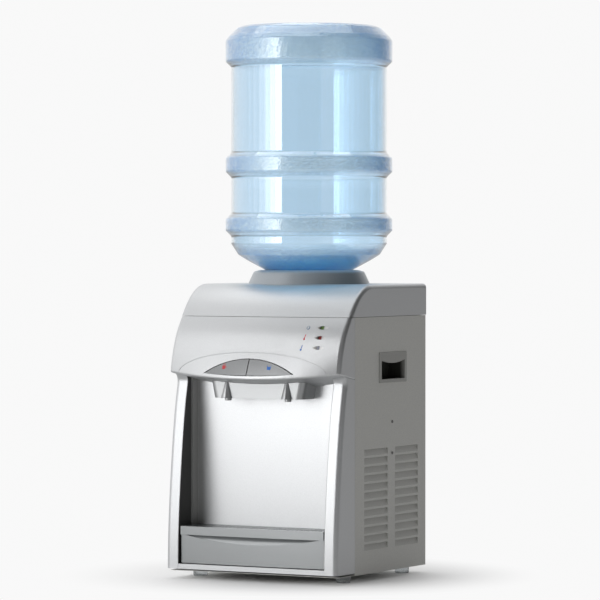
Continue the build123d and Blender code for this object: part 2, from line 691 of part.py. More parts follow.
def hot_tank_bracket():
    x, y = HOT_TANK
    low = HOT_TANK_Z[0]
    shelf = block((x - 32, x + 32), (y - 32, y + 32), (low - 1.5, low)) - disc(x, y, (100, 115), 8)
    for side in (-1, 1):
        leg = sorted((x + side * 30.5, x + side * 32))
        shelf += block(leg, (y - 32, y + 32), (BASE_Z + SHEET, low - 0.5))
        toe = sorted((x + side * 30.5, x + side * 44))
        shelf += block(toe, (y - 32, y + 32), (BASE_Z + SHEET, BASE_Z + SHEET + 1.5))
    return shelf


def thermostats():
    x, y = HOT_TANK
    return [disc(x + dx, y, (HOT_TANK_Z[1], HOT_TANK_Z[1] + 7), 8) for dx in (-22, 22)]


def hot_feed_tube():
    x, y = HOT_TANK
    entry = y + HOT_TANK_R + 4.2
    return hose((-35, 25, 265.8), (-35, 25, 200), (x, 25, HOT_INLET_Z), (x, entry, HOT_INLET_Z), bend=12)


def outlet_tube(x, y, start):
    tap_x = TAP_X if x > 0 else -TAP_X
    return hose((x, y, start), (x, y, 244), (tap_x, -103, 244), (tap_x, -103, VALVE_Z),
                (tap_x, -137.8, VALVE_Z), bend=11)


def drain_tube():
    x, y = HOT_TANK
    return hose((x, y, HOT_TANK_Z[0] - 4.2), (x, y, DRAIN[1]), (x, 88, DRAIN[1]), bend=16)


# ---------------------------------------------------------------- electrics and rear fittings


def power_supply():
    case = fillet(block((45, 125), (-30, 50), (BASE_Z + SHEET, 58)).edges().filter_by(Axis.Z), 3)
    case -= [block((85 - 28, 85 + 28), (y - 1.5, y + 1.5), (50, 60)) for y in range(-18, 40, 7)]
    return case


def control_board():
    board = block((-137.6, -136), (-45, 60), (70, 200))
    parts = [((-136.2, -124), (-35, -15), (80, 100)), ((-136.2, -124), (-5, 15), (80, 100)),
             ((-136.2, -118), (25, 50), (80, 115)), ((-136.2, -130), (-35, 5), (140, 170))]
    for x, y, z in parts:
        board += block(x, y, z)
    return board


def rear_switch_frames():
    frames = []
    for x in SWITCHES_X.values():
        frame = block((x - 7.3, x + 7.3), (REAR - 18, REAR), (SWITCH_Z - 11.3, SWITCH_Z + 11.3))
        frame += block((x - 9.5, x + 9.5), (REAR, REAR + 2), (SWITCH_Z - 13.5, SWITCH_Z + 13.5))
        frames.append(frame - block((x - 6, x + 6), (REAR - 13, REAR + 5), (SWITCH_Z - 9.6, SWITCH_Z + 9.6)))
    return frames


def rear_switch(x):
    """A rocker whose face has two slopes, one of them pressed in."""
    pivot = REAR - 2.0
    outline = [(pivot - 4, -4), (pivot + 1.2, -8.6), (pivot + 4.2, -8.3), (pivot + 3.2, 0)]
    outline += [(pivot + 4.2, 8.3), (pivot + 1.2, 8.6), (pivot - 4, 4)]
    side_view = Plane.YZ.offset(x - 5.6) * Polyline(*outline, close=True)
    rocker = extrude(make_face(side_view), 11.2, dir=(1, 0, 0))
    return Pos(0, pivot, SWITCH_Z) * Rot(-SWITCH_TILT, 0, 0) * Pos(0, -pivot, 0) * rocker


def power_inlet():
    x, z = INLET
    inlet = block((x - 14, x + 14), (REAR - 20, REAR), (z - 11, z + 11))
    inlet += block((x - 25, x + 25), (REAR, REAR + 2.5), (z - 13, z + 13))
    inlet -= block((x - 12, x + 12), (REAR - 17, REAR + 5), (z - 9, z + 9))
    for dx, dz in ((-7, -1), (0, 3), (7, -1)):
        inlet += block((x + dx - 1, x + dx + 1), (REAR - 18, REAR - 3), (z + dz - 2, z + dz + 2))
    return inlet


def drain_outlet():
    x, z = DRAIN
    outlet = rod(x, (88.2, REAR + 7), z, 6.0) + rod(x, (REAR, REAR + 2), z, 10.0)
    return outlet - rod(x, (85, REAR + 10), z, 3.0)


def drain_cap():
    x, z = DRAIN
    cap = rod(x, (REAR + 2.3, DRAIN_CAP_END), z, 8.4) - rod(x, (REAR + 2, REAR + 7.3), z, 6.3)
    ridges = [Pos(x, 0, z) * Rot(0, k * 30, 0) * Pos(8.2, 117.0, 0) * Box(1.4, 7.2, 1.6) for k in range(12)]
    return cap + ridges


save("base_plate", base_plate())
save("feet", *feet())
right_panel = side_panel()
save("side_panel_right", right_panel)
save("side_panel_left", mirror(right_panel, about=Plane.YZ))
save("rear_panel", rear_panel())
save("front_panel", front_panel())
save("niche_liner", niche_liner())
save("top_lid", top_lid())
right_handle = handle()
save("handle_right", right_handle)
save("handle_left", mirror(right_handle, about=Plane.YZ))
save("side_screws", *side_screws())
save("rear_screws", *rear_screws())
save("tap_housing", tap_housing())
save("tap_bracket", tap_bracket())
save("valve_springs", *valve_springs())
for name, side in (("hot", -1), ("cold", 1)):
    save(f"{name}_nozzle", nozzle(side * TAP_X))
    save(f"{name}_button", button(side))
    save(f"{name}_valve_body", valve_body(side * TAP_X))
    save(f"{name}_valve_plunger", plunger(side * TAP_X))
    save(f"{name}_switch", rear_switch(SWITCHES_X[name]))
for name, z in zip(("cooling", "heating", "power"), LENS_Z):
    save(f"{name}_lens", indicator_lens(z))
save("indicator_board", indicator_board())
save("drip_tray", drip_tray())
save("drip_grille", drip_grille())
save("bottle", bottle())
save("bottle_cap", bottle_cap())
save("bottle_collar", bottle_collar())
save("collar_seal", collar_seal())
save("feed_spike", feed_spike())
save("cold_tank", cold_tank())
save("tank_baffle", tank_baffle())
save("tank_foam", tank_foam())
save("cooling_block", cooling_block())
save("cooling_module", cooling_module())
save("heat_sink", heat_sink())
save("fan_frame", fan_frame())
save("fan_rotor", fan_rotor())
save("hot_tank", hot_tank())
save("heater_band", heater_band())
save("hot_tank_bracket", hot_tank_bracket())
save("thermostats", *thermostats())
save("hot_feed_tube", hot_feed_tube())
save("hot_outlet_tube", outlet_tube(*HOT_TANK, HOT_TANK_Z[1] + 4.2))
save("cold_outlet_tube", outlet_tube(35, -25, 265.8))
save("drain_tube", drain_tube())
save("power_supply", power_supply())
save("control_board", control_board())
save("rear_switch_frames", *rear_switch_frames())
save("power_inlet", power_inlet())
save("drain_outlet", drain_outlet())
save("drain_cap", drain_cap())
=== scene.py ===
import json
from math import cos, pi, radians, sin, tan

import bmesh
import bpy
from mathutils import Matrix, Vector, noise
from mathutils.bvhtree import BVHTree


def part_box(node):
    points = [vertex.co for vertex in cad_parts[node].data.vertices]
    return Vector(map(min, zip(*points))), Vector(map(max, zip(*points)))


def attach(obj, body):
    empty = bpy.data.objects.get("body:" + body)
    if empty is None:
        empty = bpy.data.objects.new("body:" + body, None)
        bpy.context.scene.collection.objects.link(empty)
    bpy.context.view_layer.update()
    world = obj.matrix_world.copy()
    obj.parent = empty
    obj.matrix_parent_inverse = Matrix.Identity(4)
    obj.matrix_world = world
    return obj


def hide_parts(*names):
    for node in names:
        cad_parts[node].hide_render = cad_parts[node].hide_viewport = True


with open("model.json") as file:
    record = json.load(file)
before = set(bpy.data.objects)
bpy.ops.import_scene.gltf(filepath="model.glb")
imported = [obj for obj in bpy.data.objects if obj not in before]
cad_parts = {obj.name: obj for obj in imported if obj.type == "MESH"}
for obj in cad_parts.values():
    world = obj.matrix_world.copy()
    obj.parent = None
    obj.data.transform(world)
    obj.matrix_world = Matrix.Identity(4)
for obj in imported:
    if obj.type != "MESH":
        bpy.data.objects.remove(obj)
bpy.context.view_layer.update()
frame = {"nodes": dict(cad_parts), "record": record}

MM = 0.001

# The bottle's axis, and the levels where it meets the dispenser, as the frame has them.
BOTTLE_LOW, BOTTLE_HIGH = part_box("bottle")
AXIS_Y = (BOTTLE_LOW[1] + BOTTLE_HIGH[1]) / 2
BOTTLE_R = (BOTTLE_HIGH[0] - BOTTLE_LOW[0]) / 2
BOTTLE_TOP = BOTTLE_HIGH[2]
MOUTH_Z = BOTTLE_LOW[2]
BANDS = [(0.555, 0.5737), (0.650, 0.672), (0.828, 0.8598)]  # the bottle's three raised rings


# ---------------------------------------------------------------- materials


def material(name):
    """A new node material and its Principled shader."""
    made = bpy.data.materials.new(name)
    made.use_nodes = True
    return made, made.node_tree.nodes["Principled BSDF"]


def add(tree, kind, **values):
    """A node with its properties, or its input sockets, set by name."""
    node = tree.nodes.new(kind)
    for key, value in values.items():
        if hasattr(node, key):
            setattr(node, key, value)
        else:
            node.inputs[key.replace("_", " ")].default_value = value
    return node


def fill_ramp(ramp, stops):
    """Gives a colour ramp its (position, colour) stops."""
    while len(ramp.elements) < len(stops):
        ramp.elements.new(0.5)
    for element, (where, colour) in zip(ramp.elements, stops):
        element.position = where
        element.color = (*colour, 1)


def set_inputs(shader, **values):
    """Sets a shader's own input sockets by name."""
    for key, value in values.items():
        shader.inputs[key.replace("_", " ")].default_value = value


def grain(made, shader, scale, height, colours, stretch=(1, 1, 1)):
    """Colour that varies between two tones, and a bump, from one noise in the object's own space."""
    tree = made.node_tree
    place = add(tree, "ShaderNodeTexCoord")
    fit = add(tree, "ShaderNodeMapping")
    fit.inputs["Scale"].default_value = stretch
    speckle = add(tree, "ShaderNodeTexNoise", Scale=scale, Detail=3.0)
    tones = add(tree, "ShaderNodeValToRGB")
    tones.color_ramp.elements[0].position = 0.35
    tones.color_ramp.elements[1].position = 0.65
    tones.color_ramp.elements[0].color = (*colours[0], 1)
    tones.color_ramp.elements[1].color = (*colours[1], 1)
    bump = add(tree, "ShaderNodeBump", Strength=0.35, Distance=height)
    tree.links.new(place.outputs["Object"], fit.inputs["Vector"])
    tree.links.new(fit.outputs["Vector"], speckle.inputs["Vector"])
    tree.links.new(speckle.outputs["Fac"], tones.inputs["Fac"])
    tree.links.new(tones.outputs["Color"], shader.inputs["Base Color"])
    tree.links.new(speckle.outputs["Fac"], bump.inputs["Height"])
    tree.links.new(bump.outputs["Normal"], shader.inputs["Normal"])
    return speckle


def rough_from(made, shader, speckle, low, high):
    """Roughness that follows the same noise between two values."""
    spread = add(made.node_tree, "ShaderNodeMapRange")
    spread.inputs["To Min"].default_value = low
    spread.inputs["To Max"].default_value = high
    made.node_tree.links.new(speckle.outputs["Fac"], spread.inputs["Value"])
    made.node_tree.links.new(spread.outputs["Result"], shader.inputs["Roughness"])


def tones(colour, change):
    """A colour a little darker and a little lighter."""
    return [tuple(min(1.0, c * (1 + sign * change)) for c in colour) for sign in (-1, 1)]


def surface(name, colour, metallic=0.0, rough=(0.4, 0.5), scale=900.0, height=0.00005,
            change=0.05, stretch=(1, 1, 1)):
    """A moulded, painted or metal surface with fine grain in its colour, gloss and relief."""
    made, shader = material(name)
    set_inputs(shader, Metallic=metallic)
    speckle = grain(made, shader, scale, height, tones(colour, change), stretch=stretch)
    rough_from(made, shader, speckle, *rough)
    return made


def paint_shade_inward(made, shader, colour):
    """Mixes a darker colour into the faces that look across the cup niche, as painted shade."""
    tree = made.node_tree
    place = add(tree, "ShaderNodeTexCoord")
    spot = add(tree, "ShaderNodeSeparateXYZ")
    facing = add(tree, "ShaderNodeSeparateXYZ")
    inward = add(tree, "ShaderNodeMath", operation="MULTIPLY")
    ramp = add(tree, "ShaderNodeMapRange")
    ramp.inputs["From Min"].default_value = -0.06
    ramp.inputs["From Max"].default_value = -0.12
    blend = add(tree, "ShaderNodeMix", data_type="RGBA")
    blend.inputs["B"].default_value = (*colour, 1)
    source = shader.inputs["Base Color"].links[0].from_socket
    tree.links.new(place.outputs["Object"], spot.inputs[0])
    tree.links.new(place.outputs["Normal"], facing.inputs[0])
    tree.links.new(spot.outputs["X"], inward.inputs[0])
    tree.links.new(facing.outputs["X"], inward.inputs[1])
    tree.links.new(inward.outputs[0], ramp.inputs["Value"])
    tree.links.new(ramp.outputs["Result"], blend.inputs["Factor"])
    tree.links.new(source, blend.inputs["A"])
    tree.links.new(blend.outputs["Result"], shader.inputs["Base Color"])


def paint_shade_deep(made, shader, outer, inner, colour):
    """Mixes a darker colour into what lies deep in from either side of the cabinet, as painted shade."""
    tree = made.node_tree
    place = add(tree, "ShaderNodeTexCoord")
    spot = add(tree, "ShaderNodeSeparateXYZ")
    reach = add(tree, "ShaderNodeMath", operation="ABSOLUTE")
    ramp = add(tree, "ShaderNodeMapRange")
    ramp.inputs["From Min"].default_value = outer
    ramp.inputs["From Max"].default_value = inner
    blend = add(tree, "ShaderNodeMix", data_type="RGBA")
    blend.inputs["B"].default_value = (*colour, 1)
    source = shader.inputs["Base Color"].links[0].from_socket
    tree.links.new(place.outputs["Object"], spot.inputs[0])
    tree.links.new(spot.outputs["X"], reach.inputs[0])
    tree.links.new(reach.outputs[0], ramp.inputs["Value"])
    tree.links.new(ramp.outputs["Result"], blend.inputs["Factor"])
    tree.links.new(source, blend.inputs["A"])
    tree.links.new(blend.outputs["Result"], shader.inputs["Base Color"])


# The bottle's tints: plain wall, pebbled wall, the specks in it, and its cone from the foot up.
SMOOTH_BLUE = (0.725, 0.865, 0.97)
PEBBLE_BLUE = (0.77, 0.92, 1.0)
SPECKLE_BLUE = (0.01, 0.30, 0.76)
CONE_FOOT_BLUE = (0.01, 0.40, 0.76)
CONE_BLUE = (0.18, 0.66, 0.95)
BLACK_TONE = (0.0, 0.0, 0.0)
WHITE_TONE = (1.0, 1.0, 1.0)


def clear_bottle():
    """Thin blue polycarbonate, speckled deeper blue where it is pebbled, with painted shade that deepens
    the specks towards its edges as seen.

    Lamps and soft light go straight through it tinted, so that it casts a pale shadow.
    """
    made, shader = material("bottle_polycarbonate")
    tree = made.node_tree
    set_inputs(shader, Roughness=0.03, IOR=1.5, Coat_Weight=1.0, Coat_IOR=1.75, Coat_Roughness=0.02)
    place = add(tree, "ShaderNodeTexCoord")
    parts = add(tree, "ShaderNodeSeparateXYZ")
    rise = add(tree, "ShaderNodeMapRange")
    rise.inputs["From Min"].default_value = MOUTH_Z
    rise.inputs["From Max"].default_value = BOTTLE_TOP
    by_height = add(tree, "ShaderNodeValToRGB")
    stops = [(0.4905, CONE_FOOT_BLUE), (0.503, CONE_BLUE), (0.519, PEBBLE_BLUE), (0.530, SMOOTH_BLUE)]
    for low, high in BANDS:
        stops += [(low - 4 * MM, SMOOTH_BLUE), (low, PEBBLE_BLUE)]
        stops += [(high, PEBBLE_BLUE), (high + 4 * MM, SMOOTH_BLUE)]
    stops[-1] = (BOTTLE_TOP, PEBBLE_BLUE)
    tall = BOTTLE_TOP - MOUTH_Z
    fill_ramp(by_height.color_ramp, [((z - MOUTH_Z) / tall, colour) for z, colour in stops])
    cells = add(tree, "ShaderNodeTexVoronoi", Scale=430.0)
    grains = add(tree, "ShaderNodeSeparateColor")
    # Painted shade: the specks darken the bottle more where its wall is seen edge-on.
    edge_shade_facing = add(tree, "ShaderNodeLayerWeight", Blend=0.30)
    edge_shade_strength = add(tree, "ShaderNodeMapRange")
    edge_shade_strength.inputs["From Min"].default_value = 0.05
    edge_shade_strength.inputs["From Max"].default_value = 0.40
    edge_shade_strength.inputs["To Min"].default_value = 0.14
    edge_shade_strength.inputs["To Max"].default_value = 1.0
    clearness = add(tree, "ShaderNodeMapRange")
    clearness.inputs["To Min"].default_value = 1.0
    clearness.inputs["To Max"].default_value = 0.72
    height = add(tree, "ShaderNodeValToRGB")
    masks = [(z, BLACK_TONE if colour == SMOOTH_BLUE else WHITE_TONE) for z, colour in stops]
    fill_ramp(height.color_ramp, [((z - MOUTH_Z) / tall, level) for z, level in masks])
    dents = add(tree, "ShaderNodeBump", Strength=0.6, Distance=0.6 * MM)
    depth = add(tree, "ShaderNodeMath", operation="MULTIPLY")
    deeper = add(tree, "ShaderNodeMix", data_type="RGBA", blend_type="MULTIPLY")
    speckle = add(tree, "ShaderNodeMath", operation="MULTIPLY")
    pebbled = add(tree, "ShaderNodeMath", operation="MULTIPLY")
    deeper.inputs["B"].default_value = (*SPECKLE_BLUE, 1)
    clear = add(tree, "ShaderNodeBsdfTransparent", Color=(0.89, 0.95, 0.985, 1))
    path = add(tree, "ShaderNodeLightPath")
    either = add(tree, "ShaderNodeMath", operation="MAXIMUM")
    blend = add(tree, "ShaderNodeMixShader")
    tree.links.new(place.outputs["Object"], parts.inputs[0])
    tree.links.new(place.outputs["Object"], cells.inputs["Vector"])
    tree.links.new(rise.outputs["Result"], height.inputs["Fac"])
    tree.links.new(cells.outputs["Distance"], depth.inputs[0])
    tree.links.new(height.outputs["Color"], depth.inputs[1])
    tree.links.new(depth.outputs[0], dents.inputs["Height"])
    tree.links.new(dents.outputs["Normal"], shader.inputs["Normal"])
    tree.links.new(parts.outputs["Z"], rise.inputs["Value"])
    tree.links.new(rise.outputs["Result"], by_height.inputs["Fac"])
    tree.links.new(by_height.outputs["Color"], deeper.inputs["A"])
    tree.links.new(cells.outputs["Color"], grains.inputs[0])
    tree.links.new(edge_shade_facing.outputs["Facing"], edge_shade_strength.inputs["Value"])
    tree.links.new(grains.outputs[0], speckle.inputs[0])
    tree.links.new(edge_shade_strength.outputs["Result"], speckle.inputs[1])
    tree.links.new(speckle.outputs[0], pebbled.inputs[0])
    tree.links.new(height.outputs["Color"], pebbled.inputs[1])
    tree.links.new(pebbled.outputs[0], deeper.inputs["Factor"])
    tree.links.new(height.outputs["Color"], clearness.inputs["Value"])
    tree.links.new(clearness.outputs["Result"], shader.inputs["Transmission Weight"])
    tree.links.new(deeper.outputs["Result"], shader.inputs["Base Color"])
    tree.links.new(path.outputs["Is Shadow Ray"], either.inputs[0])
    tree.links.new(path.outputs["Is Diffuse Ray"], either.inputs[1])
    tree.links.new(either.outputs[0], blend.inputs["Fac"])
    tree.links.new(shader.outputs[0], blend.inputs[1])
    tree.links.new(clear.outputs[0], blend.inputs[2])
    tree.links.new(blend.outputs[0], tree.nodes["Material Output"].inputs["Surface"])
    return made


def foot_plastic():
    """Cloudy clear plastic."""
    made, shader = material("foot_clear_plastic")
    set_inputs(shader, Roughness=0.08, IOR=1.45, Transmission_Weight=0.75)
    grain(made, shader, 300.0, 0.00005, [(0.62, 0.66, 0.68), (0.80, 0.83, 0.85)])
    return made


def indicator(name, glow):
    """A lens coloured along its length, with painted shade beside its lamp and a painted highlight at its
    far end.
    """
    made, shader = material(name)
    tree = made.node_tree
    low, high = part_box("power_lens")
    place = add(tree, "ShaderNodeTexCoord")
    parts = add(tree, "ShaderNodeSeparateXYZ")
    along = add(tree, "ShaderNodeMapRange")
    along.inputs["From Min"].default_value = low[0]
    along.inputs["From Max"].default_value = high[0]
    ramp = add(tree, "ShaderNodeValToRGB")
    # The dark stops before the lamp colour and the white stops after it are painted shade and painted
    # highlight of the lens's concave recess.
    stops = [(0.0, (0.75, 0.75, 0.72)), (0.16, (0.35, 0.34, 0.32)), (0.30, (0.03, 0.03, 0.03)),
             (0.44, glow), (0.56, glow), (0.66, (0.70, 0.70, 0.70)), (1.0, (0.95, 0.95, 0.95))]
    fill_ramp(ramp.color_ramp, stops)
    tree.links.new(place.outputs["Object"], parts.inputs[0])
    tree.links.new(parts.outputs["X"], along.inputs["Value"])
    tree.links.new(along.outputs["Result"], ramp.inputs["Fac"])
    tree.links.new(ramp.outputs["Color"], shader.inputs["Base Color"])
    set_inputs(shader, Roughness=0.15, Coat_Weight=0.6, Coat_Roughness=0.05)
    return made


# Painted shade: a handle's pocket is painted darker from the first value inward, fully dark at the second.
HANDLE_SHADE_X = (0.1535, 0.1475)  # from here inward a handle's pocket darkens, to full depth

SILVER = surface("silver_plastic", (0.64, 0.65, 0.66), metallic=0.8, rough=(0.36, 0.44), scale=1400.0)
NICHE = surface("niche_silver", (0.64, 0.65, 0.66), metallic=0.85, rough=(0.32, 0.40), scale=1400.0)
PAINT = surface("grey_paint", (0.68, 0.68, 0.65), metallic=0.15, rough=(0.38, 0.50), scale=700.0,
                height=0.00008)
# Painted shade: the faces of the silver and niche plastic that look across the niche are darkened towards
# these levels.
for plastic, shade_tone in ((SILVER, 0.085), (NICHE, 0.45)):  # the tone of their faces across the niche
    paint_shade_inward(plastic, plastic.node_tree.nodes["Principled BSDF"], (shade_tone, shade_tone, shade_tone * 0.97))
TAPS = surface("tap_silver", (0.47, 0.48, 0.485), metallic=0.8, rough=(0.34, 0.42), scale=1400.0)
HANDLE = surface("handle_plastic", (0.42, 0.42, 0.40), rough=(0.35, 0.45))
# Painted shade in the handle pockets, darker the deeper they lie.
paint_shade_deep(HANDLE, HANDLE.node_tree.nodes["Principled BSDF"], *HANDLE_SHADE_X, (0.045, 0.045, 0.04))
TRAY = surface("tray_plastic", (0.38, 0.395, 0.40), metallic=0.6, rough=(0.25, 0.28),
               height=0.00001, change=0.02)
BUTTON = surface("button_plastic", (0.25, 0.255, 0.26), metallic=0.6, rough=(0.30, 0.36))
COLLAR = surface("collar_plastic", (0.40, 0.42, 0.44), metallic=0.2, rough=(0.28, 0.36))
DARK = surface("dark_plastic", (0.03, 0.03, 0.035), rough=(0.2, 0.3))
BLACK = surface("black_plastic", (0.015, 0.015, 0.016), rough=(0.45, 0.6), scale=1500.0)
WHITE = surface("white_plastic", (0.75, 0.75, 0.72), rough=(0.4, 0.5))
FOAM = surface("foam", (0.72, 0.69, 0.60), rough=(0.85, 0.95), scale=400.0, height=0.0004, change=0.15)
RUBBER = surface("seal_rubber", (0.02, 0.02, 0.02), rough=(0.6, 0.7))
TUBE = surface("tube_silicone", (0.62, 0.63, 0.60), rough=(0.35, 0.45))
STEEL = surface("bare_steel", (0.55, 0.55, 0.56), metallic=1.0, rough=(0.28, 0.45), scale=300.0,
                stretch=(1, 1, 12))
SCREW = surface("screw_steel", (0.14, 0.14, 0.14), metallic=1.0, rough=(0.25, 0.35))
ALUMINIUM = surface("aluminium", (0.68, 0.69, 0.70), metallic=1.0, rough=(0.35, 0.5), stretch=(8, 1, 1))
BRASS = surface("brass", (0.60, 0.44, 0.18), metallic=1.0, rough=(0.3, 0.45))
BOARD = surface("circuit_board", (0.02, 0.12, 0.05), rough=(0.35, 0.45))
CAP = surface("cap_plastic", (0.03, 0.12, 0.42), rough=(0.3, 0.4))
FOOT = foot_plastic()
BOTTLE = clear_bottle()

BY_NODE = {"tap_housing": TAPS, "hot_nozzle": TAPS, "cold_nozzle": TAPS, "bottle_collar": COLLAR}
BY_SLOT = {
    "silver_plastic": SILVER, "niche_plastic": NICHE, "grey_paint": PAINT, "handle_plastic": HANDLE,
    "clear_foot": FOOT, "button_plastic": BUTTON, "dark_plastic": DARK, "tray_plastic": TRAY,
    "blue_bottle": BOTTLE, "cap_plastic": CAP, "screw_steel": SCREW, "bare_steel": STEEL,
    "white_plastic": WHITE, "foam": FOAM, "seal_rubber": RUBBER, "tube_rubber": TUBE,
    "aluminium": ALUMINIUM, "brass": BRASS, "black_plastic": BLACK, "circuit_board": BOARD,
    "green_lens": indicator("green_lens", (0.12, 0.20, 0.06)),
    "red_lens": indicator("red_lens", (0.20, 0.01, 0.01)),
    "blue_lens": indicator("blue_lens", (0.02, 0.03, 0.08)),
}


def paint(node, made):
    """Gives every material slot of a CAD node one material."""
    for place in frame["nodes"][node].material_slots:
        place.material = made


def paint_frame():
    """Paints every CAD node by its own entry, or else by its material slot."""
    for entry in frame["record"]["subparts"]:
        paint(entry["node"], BY_NODE.get(entry["node"]) or BY_SLOT[entry["material_slot"]])


# ---------------------------------------------------------------- mesh helpers


def make_object(name, verts, faces, made, body):
    """A smooth mesh with one material, riding on a body."""
    mesh = bpy.data.meshes.new(name)
    mesh.from_pydata(verts, [], faces)
    mesh.validate()
    mesh.update()
    piece = bpy.data.objects.new(name, mesh)
    bpy.context.collection.objects.link(piece)
    mesh.materials.append(made)
    mesh.polygons.foreach_set("use_smooth", [True] * len(mesh.polygons))
    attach(piece, body)
    return piece


def rounded(points, radius, steps=6):
    """The corners of an open (r, z) outline turned into short arcs."""
    result = [Vector(points[0])]
    for before, corner, after in zip(points, points[1:], points[2:]):
        corner = Vector(corner)
        back = Vector(before) - corner
        ahead = Vector(after) - corner
        half = back.angle(ahead) / 2
        reach = min(radius / max(tan(half), 0.001), back.length * 0.45, ahead.length * 0.45)
        start = corner + back.normalized() * reach
        end = corner + ahead.normalized() * reach
        for k in range(steps + 1):
            t = k / steps
            result.append(start * (1 - t) ** 2 + corner * 2 * t * (1 - t) + end * t * t)
    result.append(Vector(points[-1]))
    return result


def divide(points, step):
    """Adds points so that no run is longer than step, which may depend on height."""
    result = [points[0]]
    for a, b in zip(points, points[1:]):
        length = (b - a).length
        count = max(1, int(length / step((a[1] + b[1]) / 2) + 0.5))
        result += [a.lerp(b, k / count) for k in range(1, count + 1)]
    return result


def turned(points, segments, shift):
    """Vertices and faces of an outline turned round the bottle's axis, moved in by shift(r, z, angle)."""
    verts = []
    faces = []
    for radius, z in points:
        for k in range(segments):
            angle = 2 * pi * k / segments
            r = radius - shift(radius, z, angle)
            verts.append((r * cos(angle), AXIS_Y + r * sin(angle), z))
    rows = len(points)
    for row in range(rows - 1):
        for k in range(segments):
            a = row * segments + k
            b = row * segments + (k + 1) % segments
            faces.append((a, b, b + segments, a + segments))
    return verts, faces


# ---------------------------------------------------------------- bottle

GROOVE_R = BOTTLE_R - 9 * MM
NECK_R = 27.5 * MM
CONE_FOOT = (NECK_R, 0.4665)
CONE_HEAD = (0.071, 0.4913)
WALL = 3.4 * MM
SEGMENTS = 560
PEBBLE_SIZE = 3.4 * MM
PEBBLE_DEPTH = 0.3 * MM


def bottle_outline():
    """The outside as (r, z), from the middle of the upturned base down to the mouth."""
    crown = [(2.0, 4.5), (60.0, 4.0), (96.0, 3.0), (109.0, 3.0), (117.0, 6.5), (130.5, 20.0)]
    points = [(r * MM, BOTTLE_TOP - drop * MM) for r, drop in crown]
    points.append((BOTTLE_R, BOTTLE_TOP - 27 * MM))
    for low, high in reversed(BANDS):
        if high < BANDS[-1][1]:
            points += [(GROOVE_R, high + 9 * MM), (BOTTLE_R, high)]
        points += [(BOTTLE_R, low), (GROOVE_R, low - 9 * MM)]
    points += [(GROOVE_R, 0.534), (0.1144, 0.516), (0.100, 0.507), CONE_HEAD, CONE_FOOT, (NECK_R, MOUTH_Z)]
    return rounded(points, 5 * MM)


def pebbled(r, z):
    """How deep the pebble texture is at a height: full on the bands, the base's edge and the cone."""
    edge = 3 * MM
    zones = [(low - edge, high + edge) for low, high in BANDS[:2]]
    zones += [(BANDS[2][0] - edge, BOTTLE_TOP - 7 * MM), (0.4925, 0.527)]
    for low, high in zones:
        if low < z < high and r > 0.06:
            return min(1.0, (z - low) / edge, (high - z) / edge)
    return 0.0


def pebble(r, z, angle):
    """How far in the wall lies between its pebbles."""
    depth = pebbled(r, z)
    if not depth:
        return 0.0
    spot = Vector((r * cos(angle), r * sin(angle), z)) / PEBBLE_SIZE
    near, next_near = noise.voronoi(spot)[0][:2]
    ridge = min(1.0, (next_near - near) / 0.55)
    return depth * PEBBLE_DEPTH * (1 - ridge * (2 - ridge))


def inner_outline(outline):
    """The inside as (r, z): a wall's thickness in from the outside, and down from the crown."""
    inner = [Vector((max(r - WALL, 0.001), z)) for r, z in outline]
    inner[0][1] -= WALL
    inner = [Vector((r, z - WALL if z > BOTTLE_TOP - 8 * MM else z)) for r, z in inner]
    return [Vector((r, z + 0.7 * MM if NECK_R + MM < r < 0.118 and z < 0.53 else z)) for r, z in inner]


def build_bottle():
    """The bottle as one closed shell: outside, inside, the rim that joins them and both middles."""
    outline = bottle_outline()
    fine = divide(outline, lambda z: 1.25 * MM if pebbled(0.1, z) else 8 * MM)
    verts, faces = turned(fine, SEGMENTS, pebble)
    in_verts, in_faces = turned(inner_outline(outline), SEGMENTS, lambda r, z, angle: 0.0)
    start = len(verts)
    verts += in_verts
    faces += [tuple(start + i for i in reversed(face)) for face in in_faces]
    last_out = start - SEGMENTS
    last_in = len(verts) - SEGMENTS
    for k in range(SEGMENTS):
        n = (k + 1) % SEGMENTS
        faces.append((last_out + k, last_out + n, last_in + n, last_in + k))
    faces.append(tuple(reversed(range(SEGMENTS))))
    faces.append(tuple(range(start, start + SEGMENTS)))
    faces = [tuple(reversed(face)) for face in faces]
    piece = make_object("bottle_shell", verts, faces, BOTTLE, "bottle")
    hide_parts("bottle")


# ---------------------------------------------------------------- printed symbols

PRINT_PROUD = 0.12 * MM
PRINT_THICK = 0.11 * MM


def surface_tree(node):
    """A search tree over a CAD node, to lay flat symbols on it."""
    depsgraph = bpy.context.evaluated_depsgraph_get()
    built = bmesh.new()
    built.from_object(frame["nodes"][node], depsgraph)
    tree = BVHTree.FromBMesh(built)
    built.free()
    return tree


def lay_print(name, rings, colour_material, tree, body):
    """Filled (x, z) outlines laid on the front of the surface, standing a hair proud of it."""
    built = bmesh.new()
    for ring in rings:
        corners = [built.verts.new((x, 0, z)) for x, z in ring]
        built.faces.new(corners)
    bmesh.ops.triangulate(built, faces=built.faces[:])
    front = []
    for vert in built.verts:
        hit = tree.ray_cast(Vector((vert.co.x, -1.0, vert.co.z)), Vector((0, 1, 0)))
        front.append(hit[0].y - PRINT_PROUD)
    for vert, y in zip(built.verts, front):
        vert.co.y = y
    solid = bmesh.ops.extrude_face_region(built, geom=built.faces[:])
    for item in solid["geom"]:
        if isinstance(item, bmesh.types.BMVert):
            item.co.y += PRINT_THICK
    bmesh.ops.recalc_face_normals(built, faces=built.faces[:])
    mesh = bpy.data.meshes.new(name)
    built.to_mesh(mesh)
    built.free()
    piece = bpy.data.objects.new(name, mesh)
    bpy.context.collection.objects.link(piece)
    mesh.materials.append(colour_material)
    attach(piece, body)


